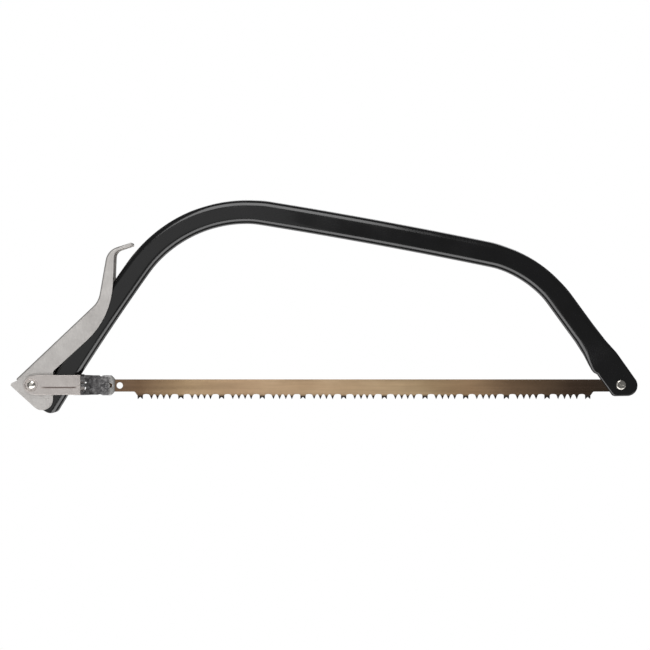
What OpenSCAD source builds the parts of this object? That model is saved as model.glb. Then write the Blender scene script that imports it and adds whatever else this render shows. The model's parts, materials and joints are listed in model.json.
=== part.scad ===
// Bow saw with an over-centre tension lever.
// Upright, +Z up, +X from the tension lever towards the blade screw, front face towards -Y.
// Every outline is drawn round the link rivet, with X along the blade and Z up from its line,
// and place() then moves the whole saw so that the origin is at the hand grip.

/* [Bow] */
// Width of the oval tube, seen from the side
tube_w = 25.6; // [25:0.1:26]
// Depth of the oval tube, across the saw
tube_d = 13; // [12:0.5:13]
// Wall of the tube
tube_wall = 1.5; // [1:0.1:2]
// Slope of the left leg at its open end, degrees
heel_slope = 58.8; // [58.5:0.1:59]
// Slope of the right leg, degrees
toe_slope = 53.9; // [53.5:0.1:54.5]
// Centre-line radius of the bend above the lever
rear_bend_r = 137.2; // [136:0.1:138]
// Centre-line radius of the bend above the blade screw
front_bend_r = 124; // [122:0.5:126]

/* [Blade] */
// Distance from the blade pin to the blade screw, the blade's nominal length
blade_len = 527.6; // [526:0.1:529]
// Thickness of the blade
blade_t = 0.9; // [0.7:0.1:1]
// Depth from the back of the blade to the tooth tips
blade_h = 21.8; // [21:0.1:22.5]
// Depth of a tooth below the gullet line
tooth_h = 4.2; // [3:0.1:5]
// Length of one group of teeth
tooth_pitch = 41.9; // [41:0.1:42]
// Number of rakers
rakers = 12; // [4:1:12]
// Diameter of the spare hole beside the clip
spare_hole_d = 6.6; // [4:0.2:7]

/* [Lever] */
// Thickness of the pressed lever and link sheet
sheet_t = 1.5; // [1:0.1:1.6]
// Inside width of the lever channel
channel_w = 13.8; // [13.6:0.1:14]
// Diameter of the lever pin
lever_pin_d = 5; // [4:0.5:6]
// Diameter of the link rivet
link_rivet_d = 5; // [4:0.5:5]

/* [Clip and screw] */
// Diameter of the blade pin
blade_pin_d = 3.8; // [3:0.1:4]
// Diameter of the blade screw
screw_d = 6; // [5:0.5:6]

/* [Hidden] */
$fn = 64;

// Colours
black_paint = [0.07, 0.07, 0.08];
satin_zinc = [0.74, 0.72, 0.70];
link_zinc = [0.77, 0.73, 0.71];
dark_steel = [0.30, 0.31, 0.33];
bright_steel = [0.84, 0.82, 0.78];
bronze_steel = [0.62, 0.51, 0.41];

// Clearances
slip = 0.02;      // between two pieces of one body
running = 0.06;   // between a pin and the hole that turns on it
gap = 0.3;        // between pieces of two bodies that pass each other
over = 1;         // how far a cutting shape runs past what it cuts

// Pivots, in X and Z
lever_pivot = [15, -9];
blade_pin_at = [76.3, -0.9];
screw_at = [blade_pin_at.x + blade_len, -0.4];
grip_at = [121.8, 137.4];

// Layers across the saw, as distances from its middle plane
tube_side = tube_d / 2;
cheek_in = channel_w / 2;
cheek_out = cheek_in + sheet_t;
pin_head_out = cheek_out + 1.1;
plate_in = pin_head_out + gap + 0.1;
plate_out = plate_in + sheet_t;
flat_side = 2.3;  // half the thickness of the pressed end of the tube
slit_side = 0.8;  // half the slit that takes the blade in the pressed end and in the clip
clip_out = 3.7;   // half the width of the clip over the blade pin

// Centre line of the bow from its open end to the pressed end: one arc after another.
// The pull of the blade bows the leg and the top a little, so they are arcs of a large radius.
heel_at = [11.5, -26.3];
leg_slope = 54.65;          // where the left leg runs into the rear bend
leg_r = 2413;
top_rear_slope = -9.2;      // where the top leaves the rear bend
top_front_slope = -11.6;    // where the top runs into the front bend
top_r = 5490;
toe_dir = [cos(toe_slope), -sin(toe_slope)];
heel_round = 10.2;          // corner radius of the open lower end
flat_start = 44;            // distance from the blade screw back to the start of the pressed end
flat_full = 23;             // distance from the blade screw back to where it is fully flat
toe_plug = 18;              // how far the hollow stops before the pressed end

function unit(v) = v / norm(v);
function turn_left(v) = [-v.y, v.x];

// Points of a closed outline whose corners [x, z, r] are rounded to the radius r
arc_step = 7;
function fillet(a, p, b, r) =
    r == 0 ? [p] :
    let (
        u = unit(a - p),
        v = unit(b - p),
        half = acos(u * v) / 2,
        centre = p + unit(u + v) * r / sin(half),
        first = p + u * r / tan(half) - centre,
        start = atan2(first.y, first.x),
        sweep = (180 - 2 * half) * (u.x * v.y - u.y * v.x > 0 ? -1 : 1),
        steps = ceil(abs(sweep) / arc_step)
    )
    [for (i = [0:steps]) centre + r * [cos(start + sweep * i / steps), sin(start + sweep * i / steps)]];
function xy(c) = [c[0], c[1]];
function rounded(corners) =
    let (n = len(corners))
    [for (i = [0:n - 1])
        each fillet(xy(corners[(i + n - 1) % n]), xy(corners[i]), xy(corners[(i + 1) % n]), corners[i][2])];

// A flat plate with an outline in X and Z, between two distances across the saw
module plate(points, y_from, y_to) {
    rotate([90, 0, 0])
        translate([0, 0, -y_to])
            linear_extrude(y_to - y_from)
                polygon(points);
}

// A rod across the saw at a point in X and Z
module rod(at, r, y_from, y_to) {
    translate([at.x, y_to, at.y])
        rotate([90, 0, 0])
            cylinder(r = r, h = y_to - y_from);
}

// A turned piece across the saw: profile points are [radius, distance towards the front]
module turned(at, profile) {
    translate([at.x, 0, at.y])
        rotate([90, 0, 0])
            rotate_extrude()
                polygon(profile);
}

module place() {
    translate([-grip_at.x, 0, -grip_at.y])
        children();
}

// ---- Bow ----

// Oval section of the tube: x is in the plane of the saw and y across it.
// The two tight bends squeeze the section a little, and the leg keeps some of that.
bend_squeeze = 0.5;
leg_squeeze = 0.3;
module oval(inset, squeeze) {
    side = tube_side - inset - squeeze / 10;
    half_flat = tube_w / 2 - tube_side - squeeze;
    square([2 * half_flat, 2 * side], center = true);
    for (end = [-1, 1])
        translate([end * half_flat, 0])
            circle(r = side);
}

// Left-hand normal of a slope, the centre of an arc that starts there, and the arc's end
function normal(slope) = [-sin(slope), cos(slope)];
function arc_centre(start, slope, radius) = start - radius * normal(slope);
function arc_end(start, slope, end_slope, radius) =
    arc_centre(start, slope, radius) + radius * normal(end_slope);

leg_end = arc_end(heel_at, heel_slope, leg_slope, leg_r);
rear_end = arc_end(leg_end, leg_slope, top_rear_slope, rear_bend_r);
top_end = arc_end(rear_end, top_rear_slope, top_front_slope, top_r);
front_end = arc_end(top_end, top_front_slope, -toe_slope, front_bend_r);
toe_start = front_end + toe_dir * ((screw_at - front_end) * toe_dir - flat_start);

// An arc of the tube that starts at a point and turns from one slope down to another.
// It can run on past both its ends by a distance.
module arc(start, slope, end_slope, radius, inset, squeeze, past_start, past_end) {
    centre = arc_centre(start, slope, radius);
    degrees = 180 / PI / radius;
    from_angle = end_slope + 90 - past_end * degrees;
    to_angle = slope + 90 + past_start * degrees;
    translate([centre.x, 0, centre.y])
        rotate([90, 0, 0])
            rotate([0, 0, from_angle])
                rotate_extrude(angle = to_angle - from_angle, $fn = radius > 1000 ? 720 : 180)
                    translate([radius, 0])
                        oval(inset, squeeze);
}

// The leg and the top run a little way into the bends, where the section is smaller
lap = 1;
module bow_path(inset, heel_extra, toe_extra) {
    arc(heel_at, heel_slope, leg_slope, leg_r, inset, leg_squeeze, heel_extra, lap);
    arc(leg_end, leg_slope, top_rear_slope, rear_bend_r, inset, bend_squeeze, 0, 0);
    arc(rear_end, top_rear_slope, top_front_slope, top_r, inset, 0, lap, lap);
    arc(top_end, top_front_slope, -toe_slope, front_bend_r, inset, bend_squeeze, 0, 0);
    lapped = front_end - lap * toe_dir;
    translate([lapped.x, 0, lapped.y])
        rotate([0, 90 + toe_slope, 0])
            linear_extrude(norm(toe_start - lapped) + toe_extra)
                oval(inset, 0);
}

// Outline of the bow with the heel rounded off
module heel_corners() {
    half = tube_w / 2;
    reach = 40;
    translate([heel_at.x, 0, heel_at.y])
        rotate([0, -heel_slope, 0])
            difference() {
                plate([[-over, -half - over], [reach, -half - over], [reach, half + over],
                       [-over, half + over]], -tube_side - over, tube_side + over);
                plate(rounded([[0, -half, heel_round], [reach + over, -half - over, 0],
                       [reach + over, half + over, 0], [0, half, heel_round]]),
                       -tube_side - 2 * over, tube_side + 2 * over);
            }
}

// A corner of the pressed end, by its distance past the screw along the leg and outwards across it
function toe_corner(along, across, r) =
    let (p = screw_at + along * toe_dir + across * turn_left(toe_dir))
    [p.x, p.y, r];
toe_outline = rounded([
    toe_corner(-60, -8, 0), toe_corner(-37, -14, 20), toe_corner(-30, -14.9, 4),
    toe_corner(-26, -14.8, 2), toe_corner(-23, -13, 2), toe_corner(5.1, -13.2, 4),
    toe_corner(25.5, 15.9, 11), toe_corner(-29, 16.6, 14), toe_corner(-44, 14.7, 14),
    toe_corner(-60, 10, 0)
]);

// Side thickness of the pressed end, along the leg from the blade screw and across the saw
module toe_thickness() {
    toe_side = tube_side - 0.2;
    translate([screw_at.x, 0, screw_at.y])
        rotate([0, toe_slope, 0])
            translate([0, 0, -30])
                linear_extrude(60)
                    polygon([
                        [-62, -toe_side], [-flat_start + 3, -toe_side],
                        [-flat_full, -flat_side], [40, -flat_side], [40, flat_side],
                        [-flat_full, flat_side], [-flat_start + 3, toe_side],
                        [-62, toe_side]
                    ]);
}

module frame_tube() {
    color(black_paint)
        place()
            difference() {
                union() {
                    difference() {
                        bow_path(0, 0, 0);
                        bow_path(tube_wall, over, -toe_plug);
                        heel_corners();
                    }
                    intersection() {
                        plate(toe_outline, -tube_side, tube_side);
                        toe_thickness();
                    }
                }
                rod(lever_pivot, bush_r + slip, -tube_side - over, tube_side + over);
                rod(screw_at, screw_d / 2 + 0.15, -tube_side, tube_side);
                // Slit that takes the blade
                translate([screw_at.x - 38, -slit_side, screw_at.y - 15])
                    cube([68, 2 * slit_side, 25]);
            }
}

bush_r = lever_pin_d / 2 + 1;
module pivot_bush() {
    color(bright_steel)
        place()
            difference() {
                rod(lever_pivot, bush_r, -tube_side - 0.1, tube_side + 0.1);
                rod(lever_pivot, lever_pin_d / 2 + running, -tube_d, tube_d);
            }
}

// ---- Blade screw ----

washer_t = 1.4;
nut_t = 5;
nut_flats = 10;
screw_head_r = 5.1;
screw_head_h = 2.6;
screw_end = flat_side + washer_t + nut_t + 1.2;

module blade_screw() {
    color(bright_steel)
        place()
            difference() {
                turned(screw_at, [
                    [0, -screw_end], [screw_d / 2 - 0.6, -screw_end], [screw_d / 2, -screw_end + 0.6],
                    [screw_d / 2, flat_side], [screw_head_r, flat_side],
                    [screw_head_r, flat_side + 1.5], [screw_head_r - 0.9, flat_side + screw_head_h - 0.2],
                    [0, flat_side + screw_head_h]
                ]);
                // Driver slot
                translate([screw_at.x, -flat_side - screw_head_h, screw_at.y])
                    rotate([0, 28, 0])
                        cube([2 * screw_head_r + over, 2.6, 1.3], center = true);
            }
}

module spring_washer() {
    color(bright_steel)
        place()
            difference() {
                rod(screw_at, 5.3, flat_side, flat_side + washer_t);
                rod(screw_at, screw_d / 2 + 0.1, 0, tube_d);
                // The split of the ring
                translate([screw_at.x - 0.4, 0, screw_at.y])
                    cube([0.8, 2 * tube_d, 8]);
            }
}

module blade_nut() {
    color(bright_steel)
        place()
            difference() {
                translate([screw_at.x, flat_side + washer_t + nut_t, screw_at.y])
                    rotate([90, 0, 0])
                        cylinder(r = nut_flats / 2 / cos(30), h = nut_t, $fn = 6);
                rod(screw_at, screw_d / 2 + slip, 0, 2 * tube_d);
            }
}

// ---- Lever ----

// Outer edge of the lever from its corner up to the hook's tip: [x, z, corner radius]
lever_corner = [-22.6, 0];
lever_back = [[67.8, 85.4], [77, 137.9], [101.9, 145.7]];
lever_bend_r = 23;
hook_r = 17;
hook_t = 2.9;
web_t = sheet_t - 0.3;  // the sheet draws thinner where it is bent round the leg
hook_dir = unit(lever_back[2] - lever_back[1]);
hook_low = lever_back[2] - hook_t * turn_left(hook_dir);

cheek_outline = rounded([
    [lever_corner.x, lever_corner.y, 2],
    [lever_back[0].x, lever_back[0].y, lever_bend_r],
    [lever_back[1].x, lever_back[1].y, hook_r],
    [lever_back[2].x, lever_back[2].y, 0.6],
    [hook_low.x, hook_low.y, 0.6],
    [84.2, 136.6, 8],
    [81.4, 68.5, 83],
    [21.7, 13.9, 4],
    [21.6, -40.2, 11.3]
]);

// Corners of a path moved sideways to its right by a distance, for the web of the channel
function side_corner(a, p, b, d) =
    let (u = unit(p - a), v = unit(b - p), n = unit(-turn_left(u) - turn_left(v)))
    p + n * d / (n * -turn_left(u));
web_foot = lever_corner + 9 * unit(lever_back[0] - lever_corner);
back_dir = unit(lever_back[0] - lever_corner);
web_inner = [
    web_foot - web_t * turn_left(back_dir),
    side_corner(lever_corner, lever_back[0], lever_back[1], web_t),
    side_corner(lever_back[0], lever_back[1], lever_back[2], web_t),
    lever_back[2] - web_t * turn_left(hook_dir)
];
web_outline = rounded([
    [web_foot.x, web_foot.y, 0],
    [lever_back[0].x, lever_back[0].y, lever_bend_r],
    [lever_back[1].x, lever_back[1].y, hook_r],
    [lever_back[2].x, lever_back[2].y, 0.3],
    [web_inner[3].x, web_inner[3].y, 0.3],
    [web_inner[2].x, web_inner[2].y, hook_r - web_t],
    [web_inner[1].x, web_inner[1].y, lever_bend_r + web_t],
    [web_inner[0].x, web_inner[0].y, 0]
]);

module lever() {
    color(satin_zinc)
        place()
            difference() {
                union() {
                    plate(cheek_outline, -cheek_out, -cheek_in);
                    plate(cheek_outline, cheek_in, cheek_out);
                    plate(web_outline, -cheek_out, cheek_out);
                }
                rod(lever_pivot, lever_pin_d / 2 + slip, -tube_d, tube_d);
                rod([0, 0], link_rivet_d / 2 + running, -tube_d, tube_d);
            }
}

module lever_pin() {
    shank = lever_pin_d / 2;
    color(bright_steel)
        place()
            turned(lever_pivot, [
                [0, -pin_head_out], [shank + 1.4, -pin_head_out], [shank + 2.7, -cheek_out - 0.3],
                [shank + 2.7, -cheek_out], [shank, -cheek_out], [shank, cheek_out],
                [shank + 2.7, cheek_out], [shank + 2.7, cheek_out + 0.3],
                [shank + 1.4, pin_head_out], [0, pin_head_out]
            ]);
}

// ---- Link and clip ----

plate_half = 10.1;
plate_end = 50.3;
dimple_r = 7;
dimple_depth = 1.2;
plate_outline = rounded([
    [plate_end, plate_half, 0.8], [4, plate_half, 8], [-7.3, 7.5, 7],
    [-7.3, -7.5, 7], [4, -plate_half, 8], [plate_end, -plate_half, 0.8]
]);
crease = [[9.3, -2.3], [44.7, -2.3], [49.3, 0.5], [49.3, -0.5], [45, -3], [9.3, -3]];

// The front plate, and by mirroring the rear one: a flat strip with a dimple round its rivet
module link_plate() {
    difference() {
        union() {
            plate(plate_outline, -plate_out, -plate_in);
            rod([0, 0], dimple_r, -plate_in - 0.1, -plate_in + dimple_depth);
        }
        rod([0, 0], dimple_r - 1, -plate_out - over, -plate_out + dimple_depth);
        rod([0, 0], link_rivet_d / 2 + slip, -plate_out - over, 0);
        plate(crease, -plate_out - over, -plate_out + 0.4);
    }
}

module link_front_plate() {
    color(link_zinc)
        place()
            link_plate();
}

module link_rear_plate() {
    color(link_zinc)
        place()
            mirror([0, 1, 0])
                link_plate();
}

module link_rivet() {
    shank = link_rivet_d / 2;
    seat = plate_out - dimple_depth;
    dome = 2.1;
    head = [[shank + 1.8, 0], [shank + 1.8, 0.4], [shank + 1.2, 1.3], [shank, dome - 0.3]];
    color(bright_steel)
        place()
            turned([0, 0], [
                [0, -seat - dome],
                for (i = [3:-1:0]) [head[i].x, -seat - head[i].y],
                [shank, -seat], [shank, seat],
                for (i = [0:3]) [head[i].x, seat + head[i].y],
                [0, seat + dome]
            ]);
}

module rivet_sleeve() {
    color(bright_steel)
        place()
            difference() {
                rod([0, 0], link_rivet_d / 2 + 0.8, -cheek_in + gap, cheek_in - gap);
                rod([0, 0], link_rivet_d / 2 + slip, -tube_d, tube_d);
            }
}

clip_nose = 83.9;
clip_back = 42.2;
flare_wide = 53.6;
flare_narrow = 61;
clip_top = 9.3;
clip_bottom = -11.1;
fold_from = 71.4;
fold_to = 79.4;
clip_outline = [
    [clip_back, clip_top], [66.8, clip_top], [68.1, 8.2], [70, 8.2], [fold_from, clip_top],
    [fold_to, clip_top], [clip_nose + 0.1, 5], [clip_nose + 0.1, -6.6], [fold_to, clip_bottom],
    [fold_from, clip_bottom], [70, -10], [68.1, -10], [66.8, -10.4], [clip_back, -10.4]
];
upper_window = [[clip_back - over, 4.3], [50, 4], [58.4, 2.2], [50, 0.5], [clip_back - over, 0.2]];
lower_window = [[clip_back - over, -2.1], [56.2, -2.2], [53.4, -7.4], [50.6, -6.8], [clip_back - over, -7.6]];

// The clip seen from above: wide legs under the plates, then narrow over the blade pin,
// with the two noses curled in towards the blade
module clip_plan(inset) {
    reach = clip_back - (inset > 0 ? over : 0);
    wide = plate_in - inset;
    narrow = clip_out - inset;
    polygon([
        [reach, -wide], [flare_wide, -wide], [flare_narrow, -narrow],
        [clip_nose - clip_out, -narrow], [clip_nose - clip_out, narrow],
        [flare_narrow, narrow], [flare_wide, wide], [reach, wide]
    ]);
    translate([clip_nose - clip_out, 0])
        circle(r = narrow);
}

// Travel of the blade pin along its slot as the lever opens, each way from its closed place
pin_travel_back = 1.3;
pin_travel_out = 2.7;

module blade_clip() {
    slot_half = blade_pin_d / 2 + 0.7;
    slot_back = blade_pin_at.x - pin_travel_back - blade_pin_d / 2 - 0.35;
    slot_front = blade_pin_at.x + pin_travel_out + blade_pin_d / 2 + 0.35;
    color(dark_steel)
        place()
            difference() {
                intersection() {
                    plate(clip_outline, -plate_in, plate_in);
                    union() {
                        translate([0, 0, -20])
                            linear_extrude(40)
                                difference() {
                                    clip_plan(0);
                                    clip_plan(sheet_t);
                                }
                        // The folds above and below the blade that join the two cheeks
                        for (z = [clip_top - sheet_t, clip_bottom - sheet_t])
                            translate([fold_from, sheet_t / 2 - clip_out, z])
                                cube([fold_to - fold_from, 2 * clip_out - sheet_t, 2 * sheet_t]);
                    }
                }
                plate(upper_window, -tube_d, tube_d);
                plate(lower_window, -tube_d, tube_d);
                // Slot of the blade pin
                for (x = [slot_back + slot_half, slot_front - slot_half])
                    rod([x, blade_pin_at.y], slot_half, -tube_d, tube_d);
                plate([
                    [slot_back + slot_half, blade_pin_at.y - slot_half],
                    [slot_front - slot_half, blade_pin_at.y - slot_half],
                    [slot_front - slot_half, blade_pin_at.y + slot_half],
                    [slot_back + slot_half, blade_pin_at.y + slot_half]
                ], -tube_d, tube_d);
                // The way between the noses for the blade
                translate([clip_nose - 2.9, -slit_side, -20])
                    cube([8, 2 * slit_side, 40]);
            }
}

// ---- Blade ----

blade_top = 6.7;
tips = blade_top - blade_h;
gullets = tips + tooth_h;
neck = blade_top - 14.1;
first_raker = 109.6;
raker_half = 2.75;
raker_notch = 2;
single_half = 1.7;
singles = [11.5, 17.9, 24.2, 30.5];
last_raker = first_raker + (rakers - 1) * tooth_pitch;
blade_left = blade_pin_at.x - 7.5;
blade_right = screw_at.x + 7.5;

function raker(x) = [
    [x - raker_half, gullets], [x - raker_half + 0.2, tips], [x, tips + raker_notch],
    [x + raker_half - 0.2, tips], [x + raker_half, gullets]
];
function single(x) = [[x - single_half, gullets], [x, tips], [x + single_half, gullets]];
tooth_edge = [
    for (i = [0:rakers - 1])
        let (x = first_raker + i * tooth_pitch)
        each concat(raker(x), i == rakers - 1 ? [] : [for (s = singles) each single(x + s)])
];

module blade() {
    color(bronze_steel)
        place()
            difference() {
                plate(concat(
                    [[blade_left, neck + 2.5], [blade_left + 2.5, neck], [first_raker - 6.5, neck],
                     [first_raker - 3.8, neck - 0.8]],
                    tooth_edge,
                    [[last_raker + 3.8, neck - 0.8], [last_raker + 6.5, neck], [blade_right - 2.5, neck],
                     [blade_right, neck + 2.5], [blade_right, blade_top - 2.5],
                     [blade_right - 2.5, blade_top], [blade_left + 2.5, blade_top],
                     [blade_left, blade_top - 2.5]]
                ), -blade_t / 2, blade_t / 2);
                rod(blade_pin_at, blade_pin_d / 2 + slip, -over, over);
                rod(screw_at, screw_d / 2 + running, -over, over);
                rod([88.5, -1.1], spare_hole_d / 2, -over, over);
            }
}

pin_head_in = clip_out + gap;
pin_head_r = 3.1;
pin_head_t = 1;
ring_t = 0.9;
pin_groove = 0.5;

module blade_pin() {
    r = blade_pin_d / 2;
    color(bright_steel)
        place()
            turned(blade_pin_at, [
                [0, -pin_head_in - ring_t - 0.9], [r - 0.3, -pin_head_in - ring_t - 0.9],
                [r, -pin_head_in - ring_t - 0.6], [r, -pin_head_in - ring_t],
                [r - pin_groove, -pin_head_in - ring_t], [r - pin_groove, -pin_head_in],
                [r, -pin_head_in], [r, pin_head_in], [pin_head_r, pin_head_in],
                [pin_head_r, pin_head_in + pin_head_t - 0.3],
                [pin_head_r - 0.3, pin_head_in + pin_head_t], [0, pin_head_in + pin_head_t]
            ]);
}

module pin_ring() {
    color(bright_steel)
        place()
            difference() {
                rod(blade_pin_at, pin_head_r, pin_head_in, pin_head_in + ring_t);
                rod(blade_pin_at, blade_pin_d / 2 - pin_groove + slip, 0, tube_d);
                // The mouth that lets the ring snap on from below
                translate([blade_pin_at.x - 1.2, 0, blade_pin_at.y - 6])
                    cube([2.4, tube_d, 6]);
            }
}

frame_tube();
pivot_bush();
blade_screw();
spring_washer();
blade_nut();
lever();
lever_pin();
link_front_plate();
link_rear_plate();
link_rivet();
rivet_sleeve();
blade_clip();
blade();
blade_pin();
pin_ring();
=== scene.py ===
import json
import math

import bmesh
import bpy
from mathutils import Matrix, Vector


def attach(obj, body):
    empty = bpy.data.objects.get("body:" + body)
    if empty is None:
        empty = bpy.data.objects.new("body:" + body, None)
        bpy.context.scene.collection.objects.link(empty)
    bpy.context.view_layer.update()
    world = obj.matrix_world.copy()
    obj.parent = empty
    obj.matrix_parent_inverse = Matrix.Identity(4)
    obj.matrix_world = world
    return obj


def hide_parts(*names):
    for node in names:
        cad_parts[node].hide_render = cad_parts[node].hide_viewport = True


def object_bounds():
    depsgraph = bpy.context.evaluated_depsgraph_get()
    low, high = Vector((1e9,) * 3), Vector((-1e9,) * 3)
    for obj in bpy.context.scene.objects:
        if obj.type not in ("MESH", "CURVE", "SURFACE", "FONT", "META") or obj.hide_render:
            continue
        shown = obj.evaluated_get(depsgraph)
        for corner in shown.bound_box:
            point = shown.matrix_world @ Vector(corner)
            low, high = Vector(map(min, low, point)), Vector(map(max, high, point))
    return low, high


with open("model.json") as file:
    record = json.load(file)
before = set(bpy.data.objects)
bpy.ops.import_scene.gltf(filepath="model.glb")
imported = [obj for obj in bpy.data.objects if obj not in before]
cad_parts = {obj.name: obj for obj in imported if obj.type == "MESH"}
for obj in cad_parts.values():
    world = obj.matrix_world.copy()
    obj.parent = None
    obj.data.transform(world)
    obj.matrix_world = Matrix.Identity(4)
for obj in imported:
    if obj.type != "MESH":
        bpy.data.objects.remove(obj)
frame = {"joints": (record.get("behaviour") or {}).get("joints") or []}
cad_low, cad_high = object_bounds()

# Pieces are drawn in millimetres round the link rivet, with X along the blade from the lever to the
# screw, Z up and the front towards -Y. finish_piece() then puts them into the row frame, in metres.
MM = 0.001
JOINT_AT = {j["name"]: Vector(j["pos_m"]) for j in frame["joints"]}
RIVET_AT = JOINT_AT["link_hinge"]


def from_rivet(point):
    """A point of the row frame as (x, z) in millimetres from the link rivet."""
    offset = (point - RIVET_AT) / MM
    return (offset.x, offset.z)


LEVER_PIN = from_rivet(JOINT_AT["lever_hinge"])
SCREW = from_rivet(JOINT_AT["blade_hinge"])

# The linkage is opened at the blade pin, so no joint of the frame gives its place
BLADE_PIN = (76.3, -0.9)

# Faces across the saw, as distances from its middle plane: the tube, its pressed end and the blade's
# slit; the lever's cheeks and its pin's heads; the link plates and the narrow part of the clip
TUBE_SIDE, FLAT_SIDE, SLIT_SIDE = 6.5, 2.3, 0.8
CHEEK_IN, CHEEK_OUT, PIN_HEAD_OUT = 6.9, 8.4, 9.5
PLATE_IN, PLATE_OUT, CLIP_OUT = 9.9, 11.4, 3.7

# Thickness of the pressed parts and of the blade
SHEET, BLADE_T = 1.5, 0.9

# How far the cutters of the bow and the lever reach to the front and to the back
THROUGH = (-10, 10)

# Degrees between the points of a rounded corner
FILLET_STEP = 6


# ---- Outlines ----

def unit(v):
    return v / v.length


def left_of(v):
    return Vector((-v.y, v.x))


def heading(degrees):
    return Vector((math.cos(math.radians(degrees)), math.sin(math.radians(degrees))))


def fillet(before, corner, after, radius):
    """Points that round one corner of an outline."""
    a, p, b = Vector(before), Vector(corner), Vector(after)
    if radius == 0:
        return [tuple(p)]
    u, v = unit(a - p), unit(b - p)
    half = u.angle(v) / 2
    centre = p + unit(u + v) * radius / math.sin(half)
    first = p + u * radius / math.tan(half) - centre
    start = math.atan2(first.y, first.x)
    turn = -1 if u.x * v.y - u.y * v.x > 0 else 1
    sweep = (math.pi - 2 * half) * turn
    count = max(2, math.ceil(math.degrees(abs(sweep)) / FILLET_STEP))
    angles = [start + sweep * i / count for i in range(count + 1)]
    return [tuple(centre + radius * Vector((math.cos(t), math.sin(t)))) for t in angles]


def rounded_runs(corners):
    """The rounded points of each corner (x, z, radius) of a closed outline, corner by corner."""
    count = len(corners)
    return [
        fillet(corners[i - 1][:2], corners[i][:2], corners[(i + 1) % count][:2], corners[i][2])
        for i in range(count)
    ]


def rounded(corners):
    return [p for run in rounded_runs(corners) for p in run]


def circle(at, radius, count):
    steps = [2 * math.pi * i / count for i in range(count)]
    return [(at[0] + radius * math.cos(t), at[1] + radius * math.sin(t)) for t in steps]


# ---- Mesh building ----

def bridge(bm, first, second):
    """Quads between two rings of vertices of the same length."""
    for i in range(len(first)):
        j = (i + 1) % len(first)
        bm.faces.new((first[i], first[j], second[j], second[i]))


def loft(*outlines):
    """A closed mesh through outlines with the same number of points. Returns it and its rings."""
    bm = bmesh.new()
    rings = [[bm.verts.new(point) for point in outline] for outline in outlines]
    for a, b in zip(rings, rings[1:]):
        bridge(bm, a, b)
    bm.faces.new(rings[0])
    bm.faces.new(rings[-1])
    bmesh.ops.recalc_face_normals(bm, faces=bm.faces)
    return bm, rings


def prism(points, y_from, y_to):
    """A plate with an outline in X and Z. Returns its mesh and its two rims."""
    return loft(*[[(x, y, z) for x, z in points] for y in (y_from, y_to)])


def upright(points, z_from, z_to):
    """A shape with an outline in X and Y."""
    return loft(*[[(x, y, z) for x, y in points] for z in (z_from, z_to)])[0]


def turned(at, profile, count=72):
    """A turned shape whose axis runs across the saw: profile is (radius, y)."""
    bm = bmesh.new()
    rings = []
    for radius, y in profile:
        if radius < 1e-6:
            rings.append([bm.verts.new((at[0], y, at[1]))])
            continue
        rings.append([bm.verts.new((x, y, z)) for x, z in circle(at, radius, count)])
    for a, b in zip(rings, rings[1:]):
        if len(a) == 1 or len(b) == 1:
            tip, ring = (a[0], b) if len(a) == 1 else (b[0], a)
            for i in range(count):
                bm.faces.new((tip, ring[i], ring[(i + 1) % count]))
        else:
            bridge(bm, a, b)
    bmesh.ops.recalc_face_normals(bm, faces=bm.faces)
    return bm


def rod(at, radius, y_from, y_to):
    return turned(at, [(0, y_from), (radius, y_from), (radius, y_to), (0, y_to)])


def block(low, high):
    (x0, y0, z0), (x1, y1, z1) = low, high
    return prism([(x0, z0), (x1, z0), (x1, z1), (x0, z1)], y0, y1)[0]


def as_object(bm, name):
    mesh = bpy.data.meshes.new(name)
    bm.to_mesh(mesh)
    bm.free()
    obj = bpy.data.objects.new(name, mesh)
    bpy.context.scene.collection.objects.link(obj)
    return obj


def apply_modifiers(obj):
    bpy.context.view_layer.update()
    graph = bpy.context.evaluated_depsgraph_get()
    mesh = bpy.data.meshes.new_from_object(obj.evaluated_get(graph), depsgraph=graph)
    old = obj.data
    obj.modifiers.clear()
    obj.data = mesh
    bpy.data.meshes.remove(old)


def combine(obj, other, operation):
    """Cuts another mesh from a piece, or adds it on."""
    tool = as_object(other, "tool")
    modifier = obj.modifiers.new("combine", "BOOLEAN")
    modifier.operation = operation
    modifier.solver = "EXACT"
    modifier.object = tool
    apply_modifiers(obj)
    bpy.data.objects.remove(tool)


def cut(obj, *tools):
    for tool in tools:
        combine(obj, tool, "DIFFERENCE")


def add(obj, *others):
    for other in others:
        combine(obj, other, "UNION")


def bevel(obj, width, segments=2, angle=35):
    modifier = obj.modifiers.new("bevel", "BEVEL")
    modifier.width = width
    modifier.segments = segments
    modifier.limit_method = "ANGLE"
    modifier.angle_limit = math.radians(angle)
    modifier.use_clamp_overlap = True
    apply_modifiers(obj)


def finish_piece(obj, name, material, body, slot, *nodes, sharp=32):
    """Puts a piece into the row frame with its material, its body and the CAD nodes it stands for."""
    obj.name = name
    obj.data.name = name
    for vertex in obj.data.vertices:
        vertex.co = RIVET_AT + vertex.co * MM
    obj.data.materials.clear()
    obj.data.materials.append(material)
    for polygon in obj.data.polygons:
        polygon.use_smooth = True
        polygon.material_index = 0
    obj.data.set_sharp_from_angle(angle=math.radians(sharp))
    weighted = obj.modifiers.new("weighted", "WEIGHTED_NORMAL")
    weighted.keep_sharp = True
    apply_modifiers(obj)
    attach(obj, body)
    if nodes:
        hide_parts(*nodes)


# ---- Materials ----

# Sockets of a Mix node that mixes colours
MIX_FACTOR, MIX_A, MIX_B, MIX_RESULT = 0, 6, 7, 2


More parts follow.
